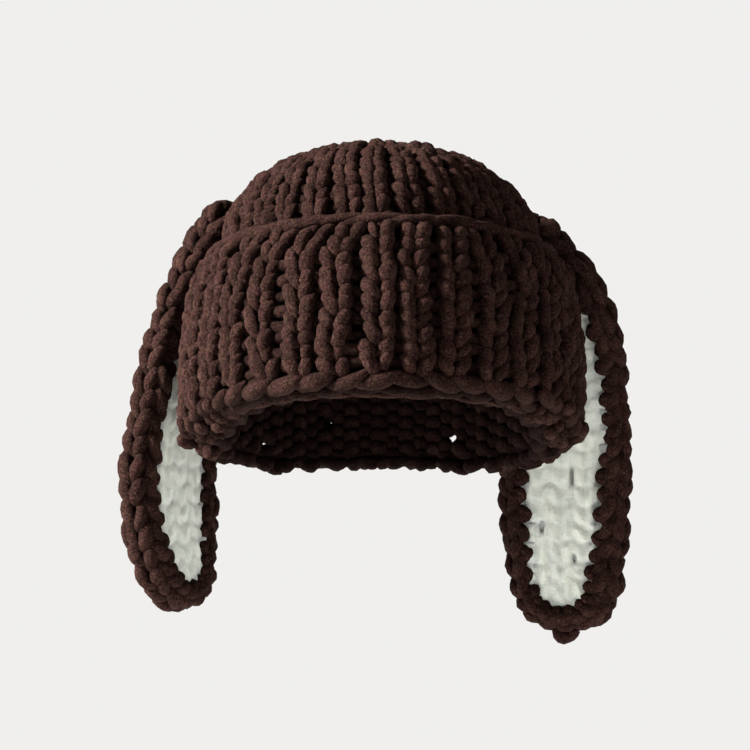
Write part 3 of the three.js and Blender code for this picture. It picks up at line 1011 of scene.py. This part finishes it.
lining = {
    "legs": (mattedLeg, mattedLeg),
    "lump": 0.035,
    "radius": 3.6,
    "out": 2.8,               # yarn middle of the legs over the middle of the ear
    "pitch": 10.4,
    "rowShift": 0.6,          # rows
    "waleWidth": 13.8,        # where the panel's half width is fullHalf
    "fullHalf": 20.5, "widest": 1.15,
    "relief": 0.3,
    "rowEnd": 0.2,            # wales by which each row goes on past its last stitch
    "drift": 1.2, "driftRun": 0.05,   # slow wave of the wales
    "startsAt": 38,           # how far down the ear the white begins
    "leastPanel": 9.5,        # half width of the panel below which there is no white
    "sides": 6,
    "sideways": 0.07, "upDown": 0.22, "inOut": 0.14, "thickness": 0.06,
}
pile = {                      # soft leaf shapes in pairs, low in relief
    "out": 7.0, "rise": 1.6, "fuzz": 0.12,
    "pitch": 10.6, "apart": 3.5, "halfLength": 5.9, "halfWidth": 3.0, "lean": 0.3,
    "uneven": {"across": 0.5, "down": 1.0, "lean": 0.1, "rise": 0.25},
    "merge": 3,               # the higher, the sharper the grooves between leaves
    "step": 1.1, "columns": 48,
    "tuckUnder": 5.0, "tuckDeep": 1.6,         # its edge goes in under the border's loops
    # height: the pile's value in the height attribute, nearly free of painted shade
    "height": 0.8,
    "slitHalfWidth": 0.9, "slitDeep": 2.2,     # slits between loose stitches, cut into the pile and painted darker as shade
}
tuft = {                      # pointed tufts that come out between the loops of the border
    "inset": 18.0, "startsBack": 2,
    "reach": (2.0, 9.0), "reachNearRoot": 6.0,
    "tilt": 2.0, "unevenRows": 0.1,
    "from": 0.4, "rise": 0.6,
    "radius": 3.3, "point": 0.4,
    # height 1.6 keeps the tufts nearly free of painted shade but on their inner side
    "height": 1.6, "steps": 7, "sides": 7,
}


def makeEarLining(ear, name):
    look = lining
    yarn = Yarn(ear["seed"] + 5, look["lump"])
    flat, table = earMap(ear)
    r = look["radius"]
    downs = np.linspace(0, table[-1, 0], 300)
    shown = downs[sizeAt(table, "panel", downs) > look["leastPanel"]]
    first, last = max(shown[0] + 4, look["startsAt"]), shown[-1] - 1

    def place(x, downBy, z):
        out = look["out"] + z * r
        points = flat(x, downBy, out)
        return points, unit(flat(x, downBy, out + 1) - points)

    for row in range(int((last - first) / look["pitch"]) + 1):
        down = last - row * look["pitch"] - 3
        half = float(sizeAt(table, "panel", down)) + rootPull(ear, down)
        keys = courseKeys(yarn.random, (-1, 0, 1), look)
        lastX, _, lastZ, lastThick = keys[-1]
        keys = np.vstack([keys, (lastX + look["rowEnd"], 0, lastZ, lastThick)])
        keys[:, 0] *= look["waleWidth"] * min(half / look["fullHalf"], look["widest"])
        path = smoothPath(keys)
        drift = look["drift"] * math.sin(down * look["driftRun"] + ear["seed"])
        downBy = down - (path[:, 1] - look["rowShift"]) * look["pitch"]
        z = path[:, 2] * look["relief"]
        points, normals = place(path[:, 0] + drift, downBy, z)
        yarn.lay(points, normals, path[:, 3] * r, z, look["sides"])
    layTufts(yarn, ear, table, place)
    layPile(yarn, ear, table, flat, first, last)
    return yarn.newPiece(name, whiteYarn)


def layTufts(yarn, ear, table, place):
    look = tuft
    random = yarn.random
    outline = outlineOf(table)
    total = outline[-1, 0]
    rows = int(round(total / earShell["pitch"]))
    n = look["steps"]
    t = np.linspace(0, 1, n)
    nearest, furthest = look["reach"]
    for row in range(1, rows):
        v = np.array([(row + random.normal(0, look["unevenRows"])) * total / rows])
        x, y, inX, inY = along(outline, v)
        if sizeAt(table, "panel", y)[0] < lining["leastPanel"] or y[0] < lining["startsAt"] + 4:
            continue
        squeeze = tipSqueeze(v, total / 2)
        pull = rootPull(ear, y)
        reach = random.uniform(nearest, furthest if pull == 0 else look["reachNearRoot"])
        back = look["startsBack"]
        inset = (look["inset"] + back - (back + reach) * t) * squeeze - pull
        tilt = random.normal(0, look["tilt"]) * t
        across = x + inX * inset - inY * tilt
        downBy = y + inY * inset + inX * tilt
        points, normals = place(across, downBy, look["from"] + look["rise"] * t)
        thick = look["radius"] * (1 - t) ** 0.7 + look["point"]
        yarn.lay(points, normals, thick, np.full(n, look["height"]), look["sides"])


def layPile(yarn, ear, table, flat, first, last):
    # Where leaves meet, the heights merge softly
    random = yarn.random
    uneven, merge = pile["uneven"], pile["merge"]
    downs = np.arange(first, last, pile["step"])
    half = sizeAt(table, "panel", downs) + rootPull(ear, downs) + pile["tuckUnder"]
    x = half[:, None] * np.linspace(-1, 1, pile["columns"])
    y = np.broadcast_to(downs[:, None], x.shape)
    stacked = np.zeros(x.shape)
    rows = range(int((last - first) / pile["pitch"]) + 2)
    for row, wale, side in itertools.product(rows, (-1, 0, 1), (-1, 1)):
        middle = wale * lining["waleWidth"] + side * pile["apart"]
        dx = x - middle - random.normal(0, uneven["across"])
        dy = y - first - row * pile["pitch"] - random.normal(0, uneven["down"])
        lean = pile["lean"] + random.normal(0, uneven["lean"])
        lengthways = dx * side * math.sin(lean) - dy * math.cos(lean)
        sideways = dx * math.cos(lean) + dy * side * math.sin(lean)
        leaf = np.exp(-(lengthways / pile["halfLength"]) ** 4) * bell(sideways, pile["halfWidth"])
        stacked += np.exp(merge * random.normal(pile["rise"], uneven["rise"]) * leaf) - 1
    tuck = np.clip(1 - (half[:, None] - np.abs(x)) / pile["tuckUnder"], 0, 1)
    out = pile["out"] + np.log1p(stacked) / merge - pile["tuckDeep"] * tuck ** 2
    out = out + random.normal(0, pile["fuzz"], x.shape)
    height = np.full(x.shape, pile["height"])
    for across, atHeight, halfLength in ear["slits"]:
        slitAt = np.interp(-atHeight, -table[:, 3], table[:, 0])
        slit = bell(x - across, pile["slitHalfWidth"]) * np.exp(-((y - slitAt) / halfLength) ** 4)
        out = out - pile["slitDeep"] * slit
        # painted shade: the slits are also darkened through the height attribute
        height = height - pile["slitDeep"] * slit
    points = flat(x.reshape(-1), y.reshape(-1), out.reshape(-1))
    yarn.laySheet(points.reshape(*x.shape, 3), height)


for ear, side in ((leftEar, "left"), (rightEar, "right")):
    dress(makeEarShell(ear, f"ear_{side}_shell_knit"), "brown_yarn", f"ear_{side}_shell")
    dress(makeEarLining(ear, f"ear_{side}_lining_knit"), "white_yarn", f"ear_{side}_lining")
    print(side, "ear done")


# Floor, light and camera

stage = {
    "floorHeight": -0.6,
    "floorRadius": 1.2,
    "floorRoughness": 0.9,
    "paper": (0.871, 0.863, 0.847),
    "ambientLeft": 0.60,
    "ambientRight": 0.36,
    "lightsAimAt": (0, 0, -0.1),
    "key": {"energy": 510, "size": 0.5, "at": (-2.2, -0.42, 1.0)},
    "fill": {"energy": 26, "size": 1.2, "at": (2.0, -0.9, 0.3)},
}


def makeFloor():
    corners = 96
    radius, height = stage["floorRadius"], stage["floorHeight"]
    angles = [tau * i / corners for i in range(corners)]
    ring = [(radius * math.cos(a), radius * math.sin(a), height) for a in angles]
    mesh = bpy.data.meshes.new("floor")
    mesh.from_pydata(ring, [], [list(range(corners))])
    material = bpy.data.materials.new("pale_floor")
    material.use_nodes = True
    shader = material.node_tree.nodes["Principled BSDF"]
    setValues(shader, {"Base Color": (*stage["paper"], 1), "Roughness": stage["floorRoughness"]})
    mesh.materials.append(material)
    newObject("floor", mesh)


def makeWorld():
    # The backdrop shows pale to the camera and lights the hat more weakly, least from the right
    world = bpy.data.worlds.new("studio")
    world.use_nodes = True
    nodes, links = world.node_tree.nodes, world.node_tree.links
    background = nodes["Background"]
    background.inputs["Color"].default_value = (*stage["paper"], 1)
    seen = nodes.new("ShaderNodeLightPath")
    direction = nodes.new("ShaderNodeTexCoord")
    axes = nodes.new("ShaderNodeSeparateXYZ")
    links.new(direction.outputs["Generated"], axes.inputs["Vector"])
    around = newNode(nodes, "ShaderNodeMapRange", {
        "From Min": -1.0, "To Min": stage["ambientLeft"], "To Max": stage["ambientRight"]})
    links.new(axes.outputs["X"], around.inputs["Value"])
    strength = newNode(nodes, "ShaderNodeMapRange", {"To Max": 1.0})
    links.new(around.outputs["Result"], strength.inputs["To Min"])
    links.new(seen.outputs["Is Camera Ray"], strength.inputs["Value"])
    links.new(strength.outputs["Result"], background.inputs["Strength"])
    bpy.context.scene.world = world


def makeLight(name, look):
    light = bpy.data.lights.new(name, "AREA")
    light.shape = "DISK"
    light.energy = look["energy"]
    light.size = look["size"]
    lamp = newObject(name, light)
    lamp.location = look["at"]
    aim = Vector(stage["lightsAimAt"]) - Vector(look["at"])
    lamp.rotation_euler = aim.to_track_quat("-Z", "Y").to_euler()


def makeCamera():
    camera = bpy.data.cameras.new("camera")
    camera.sensor_width = view["sensor"]
    camera.lens = view["lens"]
    eye = newObject("camera", camera)
    eye.location = view["at"]
    eye.rotation_euler = (math.radians(90), 0, 0)      # level, looking towards the back
    bpy.context.scene.camera = eye


makeFloor()
makeWorld()
makeLight("key_light", stage["key"])
makeLight("fill_light", stage["fill"])
makeCamera()
bpy.context.scene.view_settings.view_transform = "Standard"
print("stage done")
